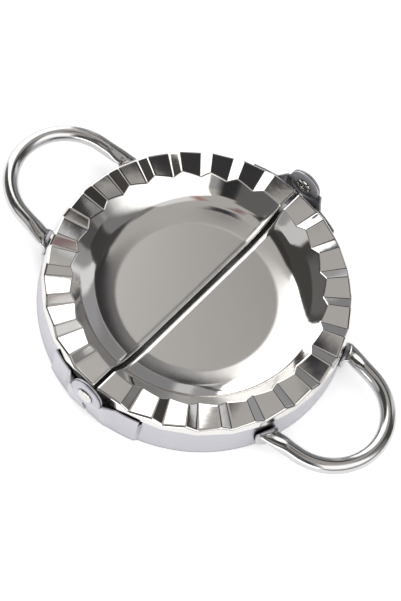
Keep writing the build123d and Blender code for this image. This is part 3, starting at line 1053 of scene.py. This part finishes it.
@dataclass(frozen=True)
class Floor:
    """White paper under the object, in millimetres. A sky is the share of its sky that a point sees.

    The paper glows enough to show white, and less where the object hides the sky, as a painted contact
    shadow.
    Under the bowls it is painted black shadow, which shows in the gap between them.
    """

    size: float = 6000.0
    reach: float = 30.0
    shadow_skies: tuple[float, float] = (0.3, 0.7)
    glows: tuple[float, float] = (0.35, 0.6)
    black_shadow_skies: tuple[float, float] = (0.16, 0.42)
    black_shadow_radii: tuple[float, float] = (45.0, 48.0)
    paper: str = "#f4f4f4"
    # Colour of the painted shadow under the bowls.
    dark: str = "#050505"

    def build(self) -> None:
        """Puts the floor in the scene."""
        floor = put("floor", flat_mesh("floor", self.size * MM, self.size * MM), Matrix())
        floor.data.materials.append(self.material())

    def material(self) -> Material:
        """The paper.

        Returns:
            The material.
        """
        paper = bpy.data.materials.new("white_paper")
        tree = empty_tree(paper)
        plain = add_node(tree, "BsdfDiffuse", {"Color": rgba(self.paper)})
        sky = add_node(tree, "AmbientOcclusion", {"Distance": self.reach * MM}, samples=16).outputs["AO"]
        # Painted contact shadow: the glow dims where the object hides the sky.
        light = ramp(tree, sky, self.shadow_skies, self.glows)
        glow = add_node(tree, "Emission", {"Color": rgba("#ffffff"), "Strength": light})
        both = add_node(tree, "AddShader", {0: plain, 1: glow})
        clear = ramp(tree, sky, self.black_shadow_skies)
        place = add_node(tree, "TexCoord", {}).outputs["Object"]
        far = add_node(tree, "VectorMath", {0: place}, operation="LENGTH").outputs["Value"]
        inner, outer = self.black_shadow_radii
        rim = ramp(tree, far, (inner * MM, outer * MM))
        share = add_node(tree, "Math", {0: clear, 1: rim}, operation="MAXIMUM")
        # Painted shadow: near-black paper where little sky reaches and the point lies within the given radius
        # of the middle.
        painted_shadow = add_node(tree, "BsdfDiffuse", {"Color": rgba(self.dark)})
        shown = add_node(tree, "MixShader", {0: share, 1: painted_shadow, 2: both})
        mix = add_node(tree, "MixShader", {0: white_backdrop(tree), 1: plain, 2: shown})
        add_node(tree, "OutputMaterial", {"Surface": mix})
        return paper


def make_world() -> None:
    """Even studio fill, and white behind the object."""
    world = bpy.data.worlds.new("studio")
    bpy.context.scene.world = world
    tree = empty_tree(world)
    fill = add_node(tree, "Background", {"Color": rgba("#e8e8ea"), "Strength": 0.5})
    white = add_node(tree, "Background", {"Color": rgba("#ffffff"), "Strength": 1.0})
    mix = add_node(tree, "MixShader", {0: white_backdrop(tree), 1: fill, 2: white})
    add_node(tree, "OutputWorld", {"Surface": mix})


def toward(azimuth: float, zenith: float) -> Vector:
    """Unit vector from the object: degrees from +X, counter-clockwise from above, and from straight up."""
    a, z = math.radians(azimuth), math.radians(zenith)
    return Vector((math.cos(a) * math.sin(z), math.sin(a) * math.sin(z), math.cos(z)))


@dataclass(frozen=True)
class Stand:
    """Where a flat piece of the studio stands. Angles and spans are degrees, seen from the object."""

    name: str
    azimuth: float
    zenith: float
    wide: float
    high: float
    distance: float
    shade: str = "#ffffff"
    spin: float = 0.0
    soft: float = 3.0

    def across(self, degrees: float) -> float:
        """Length in metres that an angle takes at the piece's distance."""
        return 2 * self.distance * math.tan(math.radians(degrees / 2))

    def frame_of(self) -> tuple[Matrix, float, float]:
        """Where a piece that faces the object stands.

        Returns:
            Its place with its turn, and its width and height in metres.
        """
        out = toward(self.azimuth, self.zenith)
        side = Vector((0, 0, 1)).cross(out).normalized() if self.zenith > 1 else Vector((1, 0, 0))
        up = out.cross(side)
        s = math.radians(self.spin)
        side, up = side * math.cos(s) + up * math.sin(s), up * math.cos(s) - side * math.sin(s)
        turn = Matrix((side, up, out)).transposed().to_4x4()
        place = Matrix.Translation(out * self.distance) @ turn
        return place, self.across(self.wide), self.across(self.high)

    def lamp(self, radiance: float) -> None:
        """Makes the piece a soft box.

        Args:
            radiance: how bright its face is, with 1 for white.
        """
        place, wide, high = self.frame_of()
        data = bpy.data.lights.new(self.name, "AREA")
        data.shape, data.size, data.size_y = "RECTANGLE", wide, high
        data.energy = radiance * math.pi * wide * high
        put(self.name, data, place)

    def card(self) -> None:
        """Makes the piece a card with soft edges that the metal reflects and the camera does not see."""
        place, wide, high = self.frame_of()
        card = put(self.name, flat_mesh(self.name, wide, high), place)
        card.visible_camera = card.visible_shadow = card.visible_diffuse = False
        card.data.materials.append(self.cloth(wide, high))

    def cloth(self, wide: float, high: float) -> Material:
        """Plain glowing cloth that thins out towards its hem.

        Args:
            wide: width of the card in metres.
            high: its height.

        Returns:
            The material.
        """
        made = bpy.data.materials.new(self.name)
        tree = empty_tree(made)
        place = add_node(tree, "TexCoord", {}).outputs["Object"]
        off = add_node(tree, "VectorMath", {0: place}, operation="ABSOLUTE")
        hem = add_node(tree, "VectorMath", {0: (wide / 2, high / 2, 0.0), 1: off}, operation="SUBTRACT")
        sides = add_node(tree, "SeparateXYZ", {0: hem})
        near = add_node(tree, "Math", {0: sides.outputs["X"], 1: sides.outputs["Y"]}, operation="MINIMUM")
        reach = self.distance * math.radians(self.soft) + 1e-4
        cover = ramp(tree, near, (0.0, reach), ease="SMOOTHSTEP")
        glow = add_node(tree, "Emission", {"Color": rgba(self.shade), "Strength": 1.0})
        clear = add_node(tree, "BsdfTransparent", {})
        mix = add_node(tree, "MixShader", {0: cover, 1: clear, 2: glow})
        add_node(tree, "OutputMaterial", {"Surface": mix})
        return made


@dataclass(frozen=True)
class Screen(Stand):
    """An upright piece: its zenith is that of its top edge and its height runs down from there."""

    def frame_of(self) -> tuple[Matrix, float, float]:
        """Where the upright piece stands.

        Returns:
            Its place with its turn, and its width and height in metres.
        """
        out = toward(self.azimuth, 90)
        side = Vector((0, 0, 1)).cross(out)
        top = self.distance / math.tan(math.radians(self.zenith))
        bottom = self.distance / math.tan(math.radians(self.zenith + self.high))
        turn = Matrix((side, out.cross(side), out)).transposed().to_4x4()
        spot = out * self.distance + Vector((0, 0, (top + bottom) / 2))
        return Matrix.Translation(spot) @ turn, self.across(self.wide), top - bottom


WALLS = [Stand(f"wall_{around}", around, 78, 64, 60, 2.6, "#a9a9aa", soft=0) for around in range(0, 360, 60)]
ROOF = Stand("roof", 0, 0, 100, 100, 2.4, "#c0bdba", soft=0)
# The soft boxes, each with its radiance.
SOFT_BOXES = (
    (Screen("soft_box_side", 64, 24, 49, 64, 1.0), 1.7),
    (Screen("soft_box_low", 262, 25, 80, 44, 1.0), 1.2),
    (Screen("soft_box_horizon", 190, 72, 60, 16, 0.9), 3.0),
)
# The cards that the metal reflects: name, azimuth, zenith, width, height, distance and shade.
CARDS = (
    Stand("soft_box_top", 268, 20.5, 20, 11, 1.7, "#f4f4f4", soft=1),
    Stand("canopy", 40, 26, 11, 12, 0.95, "#c0bdba", soft=1),
    Screen("screen_left", 119.5, 24, 64, 60, 0.98, "#4c4a48", soft=2),
    Stand("screen_left_top", 117, 20.5, 30, 14, 0.97, "#3f3d3c", soft=3),
    Stand("screen_left_edge", 163, 28, 9, 18, 0.96, "#3f3d3c"),
    Screen("screen_left_foot", 113, 62, 46, 26, 0.93, "#6e6d6d", soft=6),
    Screen("screen_pale_left", 147, 41, 21, 34, 0.9, "#dededf"),
    Screen("screen_dim_left", 183, 22, 34, 60, 1.25, "#6c6a6b", soft=5),
    Screen("screen_dark_left", 206, 34, 24, 34, 1.1, "#333234", soft=7),
    Screen("screen_fade", 306, 20, 48, 66, 0.97, "#868686", soft=20),
    Stand("plank", 321, 54, 17, 46, 0.95, "#464544", -26, 2),
    Stand("plank_top", 330, 34, 20, 18, 0.96, "#4c4a4a", soft=5),
    Screen("plank_foot", 315, 62, 16, 26, 0.96, "#5c5b5c"),
    Screen("screen_white_right", 338, 46, 16, 44, 0.98, "#f4f4f6", soft=4),
    Screen("screen_pale_right", 352, 49, 24, 41, 1.28, "#a8a8ac", soft=8),
    Screen("screen_right_top", 7, 29, 58, 17.5, 1.2, "#3c3b3d", soft=4),
    Screen("screen_right", 14, 46, 40, 44, 1.3, "#929294", soft=6),
    Screen("screen_pale_corner", 30, 49, 7, 36, 1.1, "#dcdcde", soft=2),
    Stand("screen_corner_top", 29, 48, 4.5, 5, 0.94, "#403e3f", soft=1),
    Stand("screen_corner_pale", 34.5, 48, 4, 5, 0.94, "#e4e4e6", soft=1),
    Stand("screen_corner", 36.5, 60, 3, 24, 0.96, "#4a4a4c", 17, 1),
    Stand("camera_arm", 25, 3, 11, 14, 1.5, "#37343a", soft=4),
    Stand("warm_left", 182, 13, 8, 14, 1.6, "#8e7271", soft=4),
    Stand("warm_low", 241, 21, 8, 15, 1.3, "#a8766c", soft=4),
)


def make_tent() -> None:
    """Studio round the object: grey walls and roof, three soft boxes, and the cards between them."""
    for stand in (*WALLS, ROOF):
        stand.card()
    for box, radiance in SOFT_BOXES:
        box.lamp(radiance)
    for stand in CARDS:
        stand.card()


def main() -> None:
    """Builds the pieces, the floor, the lamps and the camera."""
    logging.basicConfig(level=logging.INFO, format="%(name)s: %(message)s")
    sheets = (
        ("press_plate", PressPlate().surface(), PLATE),
        ("cutter_band", CutterBand().surface(), BAND),
        ("handle", Handle().surface(), TUBE),
    )
    for half in Half:
        for kind, surface, finish in sheets:
            add_piece(surface, f"{kind}_{half.name.lower()}", half.value, half.body, finish)
    rivet = Rivet().surface()
    for side in Side:
        add_piece(rivet, f"hinge_rivet_{side.name.lower()}", side.value, Half.REAR.body, PLAIN)
    Floor().build()
    make_world()
    make_tent()
    Viewpoint().camera()
    bpy.context.scene.view_settings.view_transform = "Standard"


if __name__ == "__main__":
    main()
